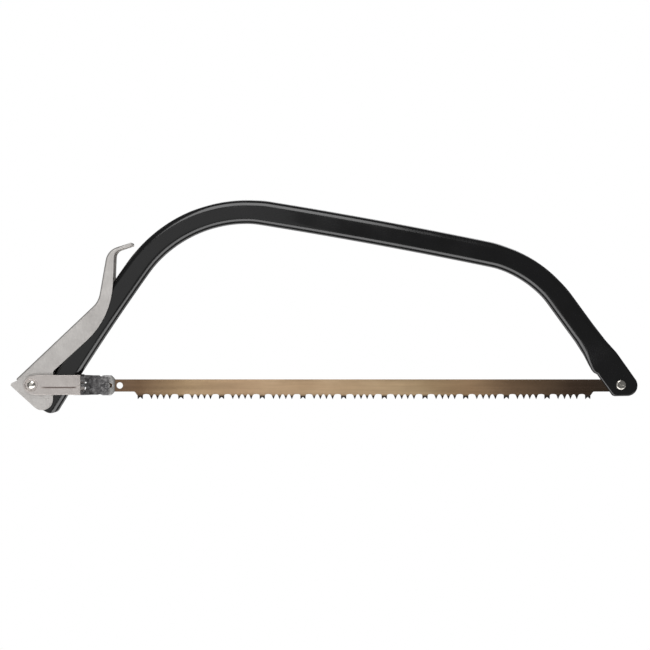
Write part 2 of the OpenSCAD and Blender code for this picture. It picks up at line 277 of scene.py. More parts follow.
class Surface:
    """A procedural material: a Principled shader with noise for its colour, roughness and bump."""

    def __init__(self, name, **constants):
        self.material = bpy.data.materials.new(name)
        self.material.use_nodes = True
        self.nodes = self.material.node_tree.nodes
        self.links = self.material.node_tree.links
        self.shader = self.nodes["Principled BSDF"]
        for key, value in constants.items():
            self.shader.inputs[key.replace("_", " ")].default_value = value
        self.place = self.nodes.new("ShaderNodeTexCoord").outputs["Object"]
        self.height = None

    def noise(self, scale, detail, stretch=(1, 1, 1), roughness=0.6):
        mapping = self.nodes.new("ShaderNodeMapping")
        mapping.inputs["Scale"].default_value = stretch
        self.links.new(self.place, mapping.inputs["Vector"])
        texture = self.nodes.new("ShaderNodeTexNoise")
        texture.inputs["Scale"].default_value = scale
        texture.inputs["Detail"].default_value = detail
        texture.inputs["Roughness"].default_value = roughness
        self.links.new(mapping.outputs["Vector"], texture.inputs["Vector"])
        return texture.outputs["Fac"]

    def ramp(self, value, stops):
        """Colours along a value from 0 to 1: stops are (position, (r, g, b))."""
        node = self.nodes.new("ShaderNodeValToRGB")
        elements = node.color_ramp.elements
        while len(elements) < len(stops):
            elements.new(0.5)
        for element, (position, colour) in zip(elements, stops):
            element.position = position
            element.color = (*colour, 1)
        self.links.new(value, node.inputs["Fac"])
        return node.outputs["Color"]

    def span(self, value, low, high, to_low=0, to_high=1):
        node = self.nodes.new("ShaderNodeMapRange")
        for key, number in (("From Min", low), ("From Max", high), ("To Min", to_low), ("To Max", to_high)):
            node.inputs[key].default_value = number
        self.links.new(value, node.inputs["Value"])
        return node.outputs["Result"]

    def mix(self, factor, first, second, blend="MIX"):
        node = self.nodes.new("ShaderNodeMix")
        node.data_type = "RGBA"
        node.blend_type = blend
        for index, value in ((MIX_FACTOR, factor), (MIX_A, first), (MIX_B, second)):
            socket = node.inputs[index]
            if isinstance(value, bpy.types.NodeSocket):
                self.links.new(value, socket)
            elif index == MIX_FACTOR:
                socket.default_value = value
            else:
                socket.default_value = (*value, 1)
        return node.outputs[MIX_RESULT]

    def axis(self, letter):
        node = self.nodes.new("ShaderNodeSeparateXYZ")
        self.links.new(self.place, node.inputs["Vector"])
        return node.outputs[letter]

    def drive(self, socket, value):
        self.links.new(value, self.shader.inputs[socket])

    def bump(self, value, distance, strength):
        node = self.nodes.new("ShaderNodeBump")
        node.inputs["Distance"].default_value = distance
        node.inputs["Strength"].default_value = strength
        self.links.new(value, node.inputs["Height"])
        if self.height is not None:
            self.links.new(self.height, node.inputs["Normal"])
        self.height = node.outputs["Normal"]
        self.links.new(self.height, self.shader.inputs["Normal"])


def gloss_enamel():
    """Stoved black enamel, the same all over: a faint orange peel, a few dull rubs and a clear gloss."""
    s = Surface("black_enamel", Specular_IOR_Level=0.5, Coat_Weight=0.35, Coat_Roughness=0.06)
    rubs = s.noise(9, detail=6)
    s.drive("Base Color", s.ramp(rubs, [(0.35, (0.0022, 0.0022, 0.0024)), (0.75, (0.0042, 0.0042, 0.0045))]))
    s.drive("Roughness", s.span(s.noise(35, detail=5), 0.3, 0.75, 0.15, 0.27))
    s.bump(s.noise(420, detail=2), 0.00003, 0.35)
    return s.material


def satin_zinc(name, light, dark, roughness):
    """Plated pressed steel: cloudy plating, fine tumbling marks and a soft sheen."""
    s = Surface(name, Metallic=0.82)
    clouds = s.ramp(s.noise(38, detail=6), [(0.3, dark), (0.7, light)])
    marks = s.noise(900, stretch=(1, 1, 0.35), detail=3)
    grain = s.ramp(marks, [(0.3, (0.86, 0.86, 0.86)), (0.7, (1, 1, 1))])
    s.drive("Base Color", s.mix(0.8, clouds, grain, "MULTIPLY"))
    s.drive("Roughness", s.span(s.noise(120, detail=6), 0.25, 0.75, roughness - 0.07, roughness + 0.08))
    s.bump(s.noise(1500, detail=3), 0.00002, 0.35)
    s.bump(s.noise(60, detail=3), 0.00012, 0.3)
    return s


# How far the link's crease is below the rivet, and the stretch over which the clip's nose is lightened by a
# painted highlight
CREASE_DROP = 2.6
CREASE_Z = RIVET_AT.z - CREASE_DROP * MM
CLIP_HIGHLIGHT_FROM, CLIP_HIGHLIGHT_TO = RIVET_AT.x + 77 * MM, RIVET_AT.x + 82 * MM


def link_nickel():
    """The link's warmer plating, with painted shade darkening the crease along the plate."""
    s = satin_zinc("link_nickel", (0.675, 0.63, 0.60), (0.565, 0.52, 0.495), 0.38)
    plating = s.shader.inputs["Base Color"].links[0].from_socket
    height, length = s.axis("Z"), s.axis("X")
    edge, core = 1.1 * MM, 0.4 * MM
    # painted shade: a dull brown band darkens the plate along the crease and fades in and out along its
    # length
    below = s.span(height, CREASE_Z - edge, CREASE_Z - core)
    above = s.span(height, CREASE_Z + edge, CREASE_Z + core)
    start = s.span(length, RIVET_AT.x + 9 * MM, RIVET_AT.x + 16 * MM)
    stop = s.span(length, RIVET_AT.x + 46 * MM, RIVET_AT.x + 44 * MM)
    across = s.mix(1, below, above, "MULTIPLY")
    along = s.mix(1, start, stop, "MULTIPLY")
    painted_crease_shade = s.mix(1, across, along, "MULTIPLY")
    s.drive("Base Color", s.mix(painted_crease_shade, plating, (0.34, 0.295, 0.28)))
    return s


def phosphated_steel():
    """Dark phosphated clip steel: mottled grey, drawn lengthways, with a painted highlight lightening it
    towards its nose.
    """
    s = Surface("dark_phosphate", Metallic=0.75)
    mottle = s.ramp(s.noise(330, detail=7, roughness=0.75), [
        (0.32, (0.05, 0.048, 0.05)), (0.50, (0.165, 0.16, 0.163)), (0.70, (0.5, 0.49, 0.49)),
    ])
    drawn = s.noise(420, stretch=(0.12, 1, 1), detail=4)
    streaks = s.ramp(drawn, [(0.35, (0.45, 0.45, 0.45)), (0.65, (1, 1, 1))])
    body = s.mix(0.8, mottle, streaks, "MULTIPLY")
    # painted highlight: the steel turns pale grey over the last few millimetres before the nose
    painted_nose_highlight = s.span(s.axis("X"), CLIP_HIGHLIGHT_FROM, CLIP_HIGHLIGHT_TO, 0, 0.75)
    s.drive("Base Color", s.mix(painted_nose_highlight, body, (0.66, 0.645, 0.62)))
    s.drive("Roughness", s.span(s.noise(300, detail=5), 0.3, 0.7, 0.26, 0.46))
    s.bump(s.noise(500, detail=5), 0.00009, 0.6)
    return s.material


def bright_plate():
    """Bright nickel on screws, rivets and pins, with fine turning and handling marks."""
    s = Surface("bright_nickel", Metallic=1.0)
    tarnish = s.noise(500, detail=5)
    s.drive("Base Color", s.ramp(tarnish, [(0.3, (0.60, 0.57, 0.52)), (0.7, (0.83, 0.81, 0.76))]))
    s.drive("Roughness", s.span(s.noise(800, detail=4), 0.3, 0.7, 0.14, 0.3))
    s.bump(s.noise(1200, detail=3), 0.000015, 0.3)
    return s.material


# The blade's tempering colour and painted reflection run from the clip to the screw, and its teeth darken
# between these heights
TEMPER_REFLECTION_FROM, TEMPER_REFLECTION_TO = RIVET_AT.x + 83 * MM, SCREW[0] * MM + RIVET_AT.x
HARDENED_FROM, HARDENED_FULL = RIVET_AT.z - 10 * MM, RIVET_AT.z - 12.4 * MM


def temper_steel():
    """Tempered blade steel: bronze tempering colour with a painted reflection along the blade, brightest
    near the middle and nearly black at the screw; rolling marks, dark hardened teeth.
    """
    s = Surface("temper_bronze_painted_reflection", Metallic=0.6)
    along = s.span(s.axis("X"), TEMPER_REFLECTION_FROM, TEMPER_REFLECTION_TO)
    # painted reflection: the tempering colour is lightened towards the middle and darkened towards both
    # ends, almost to black at the screw
    temper_and_reflection = s.ramp(along, [
        (0.0, (0.187, 0.118, 0.073)), (0.05, (0.195, 0.117, 0.064)), (0.14, (0.49, 0.34, 0.197)),
        (0.25, (0.595, 0.41, 0.253)), (0.42, (0.66, 0.472, 0.295)), (0.62, (0.49, 0.348, 0.202)),
        (0.70, (0.455, 0.30, 0.172)), (0.78, (0.22, 0.14, 0.081)), (0.90, (0.062, 0.037, 0.022)),
        (1.0, (0.033, 0.022, 0.014)),
    ])
    rolling = s.noise(260, stretch=(0.04, 1, 1), detail=5)
    streaks = s.ramp(rolling, [(0.3, (0.72, 0.72, 0.70)), (0.7, (1, 1, 1))])
    patches = s.noise(30, stretch=(0.5, 1, 1), detail=5)
    clouds = s.ramp(patches, [(0.35, (0.80, 0.76, 0.72)), (0.65, (1, 1, 1))])
    body = s.mix(0.85, s.mix(0.7, temper_and_reflection, streaks, "MULTIPLY"), clouds, "MULTIPLY")
    hardened = s.span(s.axis("Z"), HARDENED_FROM, HARDENED_FULL)
    s.drive("Base Color", s.mix(hardened, body, (0.02, 0.016, 0.014)))
    s.drive("Roughness", s.span(s.noise(200, stretch=(0.05, 1, 1), detail=5), 0.3, 0.7, 0.3, 0.46))
    s.bump(s.noise(900, stretch=(0.02, 1, 1), detail=3), 0.00002, 0.4)
    return s.material


ENAMEL = gloss_enamel()
LEVER_ZINC = satin_zinc("satin_zinc", (0.70, 0.675, 0.65), (0.575, 0.55, 0.53), 0.42).material
LINK_NICKEL = link_nickel().material
PHOSPHATE = phosphated_steel()
NICKEL = bright_plate()
TEMPER = temper_steel()

# ---- Bow ----

TUBE_HALF = 12.8
LEG_SQUEEZE, BEND_SQUEEZE = 0.3, 0.5
TUBE_WALL = 1.5
HEEL_AT = Vector((11.5, -26.3))
HEEL_ROUND = 10.2
HEEL_SLOPE, TOE_SLOPE = 58.8, -53.9

# The centre line, arc by arc from the open end: slope at its end, radius, and how much the section is
# squeezed at its start, in its middle and at its end. The pull of the blade bows the leg and the top.
BOW_ARCS = (
    (54.65, 2413, (LEG_SQUEEZE, LEG_SQUEEZE, LEG_SQUEEZE)),
    (-9.2, 137.2, (LEG_SQUEEZE, BEND_SQUEEZE, 0)),
    (-11.6, 5490, (0, 0, 0)),
    (TOE_SLOPE, 124, (0, BEND_SQUEEZE, 0)),
)

# Rings of the tube: about this many degrees or millimetres apart, whichever gives more of them, and how
# many of them are hollow
RING_DEGREES, RING_MM, HOLLOW_RINGS = 1.6, 8, 22

# Degrees of a bend over which the squeeze of its section comes and goes
SQUEEZE_BLEND = 8


def arc_end(start, slope, end_slope, radius):
    return start + (left_of(heading(end_slope)) - left_of(heading(slope))) * radius


def front_end():
    """Where the last bend ends and the straight right leg begins."""
    point, slope = HEEL_AT, HEEL_SLOPE
    for end_slope, radius, _ in BOW_ARCS:
        point = arc_end(point, slope, end_slope, radius)
        slope = end_slope
    return point


TOE_DIR = heading(TOE_SLOPE)
TOE_SIDE = left_of(TOE_DIR)
LEG_ACROSS = (front_end() - Vector(SCREW)).dot(TOE_SIDE)
PRESS_START, PRESS_FULL = -64, -22

# The pressed end's outline: distance past the screw along the leg, distance outwards, corner radius
TOE_OUTLINE = rounded([
    (-90, LEG_ACROSS - TUBE_HALF, 0), (-62, LEG_ACROSS - TUBE_HALF, 40), (-46, -12.5, 40), (-37, -14, 20),
    (-30, -14.9, 4), (-26, -14.8, 2), (-23, -13, 2), (5.1, -13.2, 4), (25.5, 15.9, 11), (-29, 16.6, 14),
    (-46, 14.8, 40), (-68, LEG_ACROSS + TUBE_HALF, 40), (-90, LEG_ACROSS + TUBE_HALF, 0),
])


def smooth(value, low, high):
    t = min(1, max(0, (value - low) / (high - low)))
    return t * t * (3 - 2 * t)


def toe_width(along):
    """Inner and outer edge of the pressed end at a distance past the screw."""
    across = []
    for a, b in zip(TOE_OUTLINE, TOE_OUTLINE[1:]):
        if (a[0] - along) * (b[0] - along) <= 0 and a[0] != b[0]:
            across.append(a[1] + (b[1] - a[1]) * (along - a[0]) / (b[0] - a[0]))
    return (min(across), max(across))


def bow_stations():
    """Points along the centre line of the tube: (point, slope, inner edge, outer edge, half depth)."""
    stations = []
    start, slope = HEEL_AT, HEEL_SLOPE
    for end_slope, radius, (squeeze_start, squeeze_middle, squeeze_end) in BOW_ARCS:
        centre = start - left_of(heading(slope)) * radius
        turn = slope - end_slope
        count = round(max(turn / RING_DEGREES, radius * math.radians(turn) / RING_MM))
        for i in range(count):
            here = slope - turn * i / count
            squeeze_in = smooth(slope - here, 0, SQUEEZE_BLEND)
            squeeze_out = smooth(here - end_slope, SQUEEZE_BLEND, 0)
            squeeze = squeeze_start + (squeeze_middle - squeeze_start) * squeeze_in
            squeeze += (squeeze_end - squeeze_middle) * squeeze_out
            half = TUBE_HALF - squeeze
            stations.append((centre + left_of(heading(here)) * radius, here, -half, half, TUBE_SIDE))
        start, slope = arc_end(start, slope, end_slope, radius), end_slope

    straight_end, straight_rings = -84, 4
    to_press = (Vector(SCREW) - start).dot(TOE_DIR) + straight_end
    for i in range(straight_rings):
        point = start + TOE_DIR * to_press * i / straight_rings
        stations.append((point, TOE_SLOPE, -TUBE_HALF, TUBE_HALF, TUBE_SIDE))

    tip = max(p[0] for p in TOE_OUTLINE)
    rim = FLAT_SIDE * 0.8
    press_step, most_rings = 1.5, 76
    alongs = [straight_end + press_step * i for i in range(most_rings)]
    alongs = [a for a in alongs if a < tip - rim]
    alongs += [tip - rim * (1 - math.sin(math.radians(t))) for t in range(0, 88, 8)]
    for along in alongs:
        low, high = toe_width(min(along, tip - 0.02))
        depth = TUBE_SIDE + (FLAT_SIDE - TUBE_SIDE) * smooth(along, PRESS_START, PRESS_FULL)
        if along > tip - rim:
            depth *= math.sqrt(max(0.02, 1 - ((along - tip + rim) / rim) ** 2))
        stations.append((Vector(SCREW) + along * TOE_DIR, TOE_SLOPE, low, high, depth))
    return stations


def oval_ring(point, slope, low, high, depth, inset):
    """The points of one ring of the tube: flat sides and half-round edges."""
    arc, flat = 12, 5
    side = left_of(heading(slope))
    low, high, depth = low + inset, high - inset, depth - inset
    radius = min(depth, (high - low) / 2 * 0.98)
    ring = []
    for end, start in ((high - radius, -90), (low + radius, 90)):
        for i in range(arc + 1):
            t = math.radians(start + 180 * i / arc)
            ring.append((end + radius * math.cos(t), depth * math.sin(t)))
        other = low + radius if start < 0 else high - radius
        y = depth if start < 0 else -depth
        ring += [(end + (other - end) * i / flat, y) for i in range(1, flat)]
    return [(point.x + side.x * n, y, point.y + side.y * n) for n, y in ring]


def tube_mesh(stations, inset=0.0):
    return loft(*[oval_ring(*station, inset) for station in stations])[0]


def heel_cutters():
    """The two corners that are cut away to round the open end."""
    leg = heading(HEEL_SLOPE)
    side = left_of(leg)

    def at(along, across):
        return tuple(HEEL_AT + leg * along + side * across)

    cutters = []
    steps, below = 12, -6
    for sign in (-1, 1):
        inner, outer = sign * (TUBE_HALF - HEEL_ROUND), sign * (TUBE_HALF + 5)
        arc = []
        for i in range(steps + 1):
            t = math.radians(90 * i / steps)
            arc.append(at(HEEL_ROUND * (1 - math.sin(t)), inner + sign * HEEL_ROUND * math.cos(t)))
        outside = [at(below, inner), at(below, outer), at(HEEL_ROUND, outer)]
        cutters.append(prism(arc + outside, *THROUGH)[0])
    return cutters


def make_bow():
    stations = bow_stations()
    bow = as_object(tube_mesh(stations), "bow")
    mouth = (HEEL_AT - 3 * heading(HEEL_SLOPE), *stations[0][1:])
    hollow_rings = [mouth] + stations[:HOLLOW_RINGS]
    bush_hole, screw_hole = 3.52, 3.15
    cut(bow, tube_mesh(hollow_rings, inset=TUBE_WALL), *heel_cutters())
    cut(bow, rod(LEVER_PIN, bush_hole, *THROUGH))
    x, z = SCREW
    slit = (x - 38, -SLIT_SIDE, z - 16), (x + 30, SLIT_SIDE, z + 10)
    cut(bow, block(*slit))
    cut(bow, rod(SCREW, screw_hole, *THROUGH))
    bevel(bow, 0.3, angle=50)
    finish_piece(bow, "bow_tube", ENAMEL, "bow", "frame_paint", "frame_tube", sharp=50)


# ---- Lever ----

LEVER_CORNER = Vector((-22.6, 0))
LEVER_KNEE = Vector((67.8, 85.4))
LEVER_NECK = Vector((77, 137.9))
HOOK_TIP = Vector((101.9, 145.7))
WEB_T = SHEET - 0.3
KNEE_R, NECK_R = 23, 17
WEB_FOOT = 9
HOOK_T, HOOK_SLANT = 2.9, 0.8
FOLD_R = 2.1


def side_corner(before, corner, after, distance):
    """A corner of a path that runs a distance to the right of another path."""
    u, v = unit(corner - before), unit(after - corner)
    n = unit(-left_of(u) - left_of(v))
    return corner + n * distance / n.dot(-left_of(u))


def bevel_rims(bm, edges, width, segments):
    bmesh.ops.bevel(bm, geom=edges, offset=width, segments=segments, profile=0.5, affect="EDGES")


def edges_among(bm, vertices):
    chosen = set(vertices)
    return [e for e in bm.edges if e.verts[0] in chosen and e.verts[1] in chosen]


def lever_outline():
    """Outer edge from the foot of the web to the hook's tip, then the rest of the cheek's outline."""
    back = unit(LEVER_KNEE - LEVER_CORNER)
    hook = unit(HOOK_TIP - LEVER_NECK)
    hook_low = HOOK_TIP - left_of(hook) * HOOK_T - hook * HOOK_SLANT
    foot = LEVER_CORNER + back * WEB_FOOT
    runs = rounded_runs([
        (*foot, 0), (*LEVER_KNEE, KNEE_R), (*LEVER_NECK, NECK_R), (*HOOK_TIP, 0.5), (*hook_low, 0.5),
        (84.2, 136.6, 8), (81.4, 68.5, 83), (21.7, 13.9, 4), (21.6, -40.2, 11.3), (*LEVER_CORNER, 2),
    ])
    edge_points = sum(len(run) for run in runs[:3]) + 1
    return [p for run in runs for p in run], edge_points


def lever_hollow():
    """The inside of the channel: it leaves the web along the outer edge and a cheek on each side."""
    back = unit(LEVER_KNEE - LEVER_CORNER)
    hook = unit(HOOK_TIP - LEVER_NECK)
    foot = LEVER_CORNER + back * WEB_FOOT
    past_web, past_tip = 6, 5
    tip = HOOK_TIP - left_of(hook) * WEB_T + hook * past_tip
    path = [
        (*(foot + left_of(back) * past_web), 0), (*(foot - left_of(back) * WEB_T), 0),
        (*side_corner(LEVER_CORNER, LEVER_KNEE, LEVER_NECK, WEB_T), KNEE_R + WEB_T),
        (*side_corner(LEVER_KNEE, LEVER_NECK, HOOK_TIP, WEB_T), NECK_R - WEB_T),
        (*tip, 0), (130, 120, 0), (60, -60, 0), (-50, -60, 0), (-50, foot.y, 0),
    ]
    runs = rounded_runs(path)
    points = [p for run in runs for p in run]
    bm, rims = prism(points, -CHEEK_IN, CHEEK_IN)
    inside = range(1, sum(len(run) for run in runs[:5]))
    edges = [e for rim in rims for e in edges_among(bm, [rim[i] for i in inside])]
    bevel_rims(bm, edges, FOLD_R - SHEET, 3)
    return bm


def make_lever():
    points, edge_points = lever_outline()
    bm, rims = prism(points, -CHEEK_OUT, CHEEK_OUT)
    edges = [e for rim in rims for e in edges_among(bm, rim[:edge_points])]
    bevel_rims(bm, edges, FOLD_R, 5)
    lever = as_object(bm, "lever")
    cut(lever, lever_hollow())
    pin_hole, rivet_hole = 2.52, 2.56
    cut(lever, rod(LEVER_PIN, pin_hole, *THROUGH), rod((0, 0), rivet_hole, *THROUGH))
    bevel(lever, 0.22, angle=50)
    finish_piece(lever, "tension_lever", LEVER_ZINC, "tension_lever", "lever_zinc", "lever", sharp=35)


def head_profile(radius, height, y_seat, sign, shank):
    """Half of a rivet: from the middle of a domed head down to its shank."""
    rim, edge, steps = 0.25, 0.12, 12
    points = [(0, y_seat + sign * height)]
    for i in range(1, steps + 1):
        t = math.radians(90 * i / steps)
        points.append((radius * math.sin(t), y_seat + sign * (rim + (height - rim) * math.cos(t))))
    points += [(radius, y_seat + sign * edge), (radius - edge, y_seat), (shank, y_seat)]
    return points


def make_lever_pin():
    """A pin with flat riveted heads, each with a slight dip in its middle."""
    head, rim, shank = 5.2, 0.3, 2.5
    dip_r, dip = 1.2, 0.08
    profile = []
    for sign in (-1, 1):
        face, seat = sign * PIN_HEAD_OUT, sign * CHEEK_OUT
        half = [(0, face - sign * dip), (dip_r, face), (head - rim, face),
                (head, face - sign * rim), (head, seat), (shank, seat)]
        profile += half if sign < 0 else reversed(half)
    pin = as_object(turned(LEVER_PIN, profile), "pin")
    finish_piece(pin, "lever_pin_riveted", LEVER_ZINC, "tension_lever", "lever_zinc", "lever_pin")


# ---- Link and clip ----

PLATE_HALF, PLATE_END = 10.1, 50.3
DIMPLE_R, DIMPLE_DEPTH, DIMPLE_STEPS = 7, 1.2, 8
RIVET_SHANK, RIVET_HEAD, RIVET_DOME = 2.5, 4.3, 2.1


def dimple_cutter(sign):
    """The dished recess round the rivet, with a rounded rim and a rounded floor."""
    face, outside = sign * PLATE_OUT, sign * (PLATE_OUT + 0.6)
    inner, outer = DIMPLE_R - 1.2, DIMPLE_R - 0.3
    wall = [(0, face - sign * DIMPLE_DEPTH)]
    for i in range(DIMPLE_STEPS + 1):
        t = i / DIMPLE_STEPS
        wall.append((inner + (outer - inner) * t, face - sign * DIMPLE_DEPTH * (1 - smooth(t, 0, 1))))
    wall += [(outer + 0.3, outside), (0, outside)]
    return turned((0, 0), wall)


def dimple_back(sign):
    """The other side of the dimple, which stands out towards the lever."""
    back, inside = sign * PLATE_IN, sign * (PLATE_IN + 0.4)
    profile = [(0, inside), (DIMPLE_R + 1.4, inside)]
    for i in range(DIMPLE_STEPS + 1):
        t = i / DIMPLE_STEPS
        depth = back + sign * 0.02 - sign * DIMPLE_DEPTH * smooth(t, 0, 1)
        profile.append((DIMPLE_R + 1.2 - 2.4 * t, depth))
    profile.append((0, back - sign * DIMPLE_DEPTH))
    return turned((0, 0), profile)


def crease_cutter(sign):
    """A shallow V pressed along the plate, which climbs and fades out beside the clip."""
    face, rise = sign * PLATE_OUT, 0.3
    # Place along the plate, place up it, half width, depth
    stations = (
        (9.3, -CREASE_DROP, 0.1, 0.1), (13, -CREASE_DROP, 0.65, 0.85),
        (44.7, -CREASE_DROP, 0.65, 0.85), (50.4, 0.1, 0.1, 0.1),
    )
    rows = []
    for x, z, half, depth in stations:
        spread, outside = half * (1 + rise / depth), face + sign * rise
        rows.append([(x, outside, z - spread), (x, face - sign * depth, z), (x, outside, z + spread)])
    return loft(*rows)[0]


def make_link_plate(name, node, sign):
    outline = rounded([
        (PLATE_END, PLATE_HALF, 1), (4, PLATE_HALF, 8), (-7.3, 7.5, 7),
        (-7.3, -7.5, 7), (4, -PLATE_HALF, 8), (PLATE_END, -PLATE_HALF, 1),
    ])
    low, high = sorted((sign * PLATE_IN, sign * PLATE_OUT))
    plate = as_object(prism(outline, low, high)[0], name)
    bevel(plate, 0.35, segments=3, angle=50)
    add(plate, dimple_back(sign))
    cut(plate, dimple_cutter(sign), crease_cutter(sign))
    cut(plate, rod((0, 0), RIVET_SHANK + 0.02, *sorted((0, sign * 14))))
    finish_piece(plate, name, LINK_NICKEL, "link", "link_zinc", node, sharp=35)


def make_link_rivet():
    seat = PLATE_OUT - DIMPLE_DEPTH
    profile = head_profile(RIVET_HEAD, RIVET_DOME, -seat, -1, RIVET_SHANK)
    profile += reversed(head_profile(RIVET_HEAD, RIVET_DOME, seat, 1, RIVET_SHANK))
    rivet = as_object(turned((0, 0), profile), "rivet")
    finish_piece(rivet, "link_rivet_domed", NICKEL, "link", "fastener_nickel", "link_rivet")


CLIP_NOSE, CLIP_BACK = 83.9, 42.2
CLIP_TOP, CLIP_BOTTOM = 9.3, -11.1

# Where the cheeks start and stop closing in, and the inner radius of those bends
TAPER_FROM, TAPER_TO, TAPER_BEND = 53.6, 61, 2.5

# The folds that join the cheeks above and below the blade
FOLD_FROM, FOLD_TO, FOLD_ROUND = 71.4, 79.4, 1.8

# The slot for the blade pin: half its height, how far the pin can move back and out, the pin's radius,
# the play at the ends, and the countersink of its edge
SLOT_HALF = 2.6
PIN_BACK, PIN_OUT = 1.3, 2.7
PIN_R, PIN_PLAY = 1.9, 0.35
SINK_DEPTH, SINK_GROW = 0.45, 0.95

# How far the cutters of the clip's outline and openings reach to the front and to the back
CLIP_THROUGH = (-11, 11)


def clip_plan(inset):
    """The clip's outline from above, inset from its faces: wide at the link, narrow with a round nose."""
    reach = CLIP_BACK - (1 if inset else 0)
    wide, narrow = PLATE_IN - inset, CLIP_OUT - inset
    bend = TAPER_BEND if inset else TAPER_BEND + SHEET
    tight = TAPER_BEND + SHEET if inset else TAPER_BEND
    nose_at = CLIP_NOSE - CLIP_OUT
    side = [(reach, wide, 0), (TAPER_FROM, wide, bend), (TAPER_TO, narrow, tight), (nose_at, narrow, 0)]
    upper = [p for run in rounded_runs(side)[:3] for p in run]
    nose, steps = [], 16
    for i in range(steps + 1):
        t = math.radians(90 - 180 * i / steps)
        nose.append((nose_at + narrow * math.cos(t), narrow * math.sin(t)))
    return upper + nose + [(x, -y) for x, y in reversed(upper)]


def slot_outline(grow=0.0):
    half = SLOT_HALF + grow
    x, z = BLADE_PIN
    back = x - PIN_BACK - PIN_R - PIN_PLAY + SLOT_HALF
    front = x + PIN_OUT + PIN_R + PIN_PLAY - SLOT_HALF
    points, steps = [], 12
    for centre, start in ((front, -90), (back, 90)):
        for i in range(steps + 1):
            t = math.radians(start + 180 * i / steps)
            points.append((centre + half * math.cos(t), z + half * math.sin(t)))
    return points


def slot_countersink(sign):
    """The countersunk edge of the pin's slot on one cheek."""
    steps = ((CLIP_OUT - SINK_DEPTH, 0), (CLIP_OUT + SINK_DEPTH, 2 * SINK_GROW))
    return loft(*[[(x, sign * y, z) for x, z in slot_outline(grow)] for y, grow in steps])[0]


def fold_corners():
    """The four corners that are cut away to round the folds above and below the blade."""
    cutters = []
    steps, ends = 8, (FOLD_FROM - 0.6, FOLD_TO + 1)
    for y_sign in (-1, 1):
        for z_edge, z_sign in ((CLIP_TOP, 1), (CLIP_BOTTOM, -1)):
            y_in, z_in = CLIP_OUT - FOLD_ROUND, z_edge - z_sign * FOLD_ROUND
            y_out, z_out = y_sign * (CLIP_OUT + 1), z_edge + z_sign
            corner = []
            for i in range(steps + 1):
                t = math.radians(90 * i / steps)
                y = y_sign * (y_in + FOLD_ROUND * math.cos(t))
                corner.append((y, z_in + z_sign * FOLD_ROUND * math.sin(t)))
            corner += [(y_sign * y_in, z_out), (y_out, z_out), (y_out, z_in)]
            cutters.append(loft(*[[(x, y, z) for y, z in corner] for x in ends])[0])
    return cutters


def make_clip():
    tall, lap = 12, 0.6
    clip = as_object(upright(clip_plan(0), -tall, tall), "clip")
    cut(clip, upright(clip_plan(SHEET), -tall - 1, tall + 1))
    side = rounded([
        (CLIP_BACK, CLIP_TOP, 1), (66.8, CLIP_TOP, 1), (68.1, 8.2, 0.8), (70, 8.2, 0.8),
        (FOLD_FROM, CLIP_TOP, 1), (FOLD_TO, CLIP_TOP, 1.5), (CLIP_NOSE + 0.1, 5, 1),
        (CLIP_NOSE + 0.1, -6.6, 1), (FOLD_TO, CLIP_BOTTOM, 1.5), (FOLD_FROM, CLIP_BOTTOM, 1),
        (70, -10, 0.8), (68.1, -10, 0.8), (66.8, -10.4, 1), (CLIP_BACK, -10.4, 1),
    ])
    for z in (CLIP_TOP - SHEET, CLIP_BOTTOM - SHEET):
        add(clip, block((FOLD_FROM, -CLIP_OUT + lap, z), (FOLD_TO, CLIP_OUT - lap, z + 2 * SHEET)))
    combine(clip, prism(side, *CLIP_THROUGH)[0], "INTERSECT")
    cut(clip, *fold_corners())
    upper = rounded([(41, 4.3, 0), (50, 4, 2), (58.4, 2.2, 0.6), (50, 0.5, 2), (41, 0.2, 0)])
    lower = rounded([(41, -2.1, 0), (56.2, -2.2, 1), (53.4, -7.4, 1.5), (50.6, -6.8, 1.5), (41, -7.6, 0)])
    cut(clip, prism(upper, *CLIP_THROUGH)[0], prism(lower, *CLIP_THROUGH)[0])
    cut(clip, prism(slot_outline(), *CLIP_THROUGH)[0], slot_countersink(-1), slot_countersink(1))
    nose_slit = (CLIP_NOSE - 2.9, -SLIT_SIDE, -tall - 1), (CLIP_NOSE + 4, SLIT_SIDE, tall + 1)
    cut(clip, block(*nose_slit))
    bevel(clip, 0.25, angle=40)
    finish_piece(clip, "folded_clip", PHOSPHATE, "link", "clip_phosphate", "blade_clip", sharp=38)


# ---- Blade ----

BLADE_TOP, TOOTH_TIP, GULLET, NECK = 6.7, -15.1, -10.9, -7.4
BLADE_REACH = 7.5
FIRST_RAKER, TOOTH_PITCH, RAKERS = 109.6, 41.9, 12
SINGLES = (11.5, 17.9, 24.2, 30.5)
RAKER_HALF, RAKER_NOTCH, RAKER_FOOT = 2.75, 2.0, 0.2
SINGLE_HALF, SINGLE_FOOT, SET = 1.7, 0.25, 0.3
FILED = 0.55
WIDE_HOLLOW, NARROW_HOLLOW = 1.0, 0.7
SPARE_HOLE, SPARE_HOLE_R = (88.5, -1.1), 3.3


def gullet(x_from, x_to, deep):
    """A rounded hollow between two teeth."""
    points, count = [], 6
    middle, half = (x_from + x_to) / 2, (x_to - x_from) / 2
    for i in range(1, count):
        t = math.pi * i / count
        points.append((middle - half * math.cos(t), GULLET + deep * math.sin(t)))
    return points


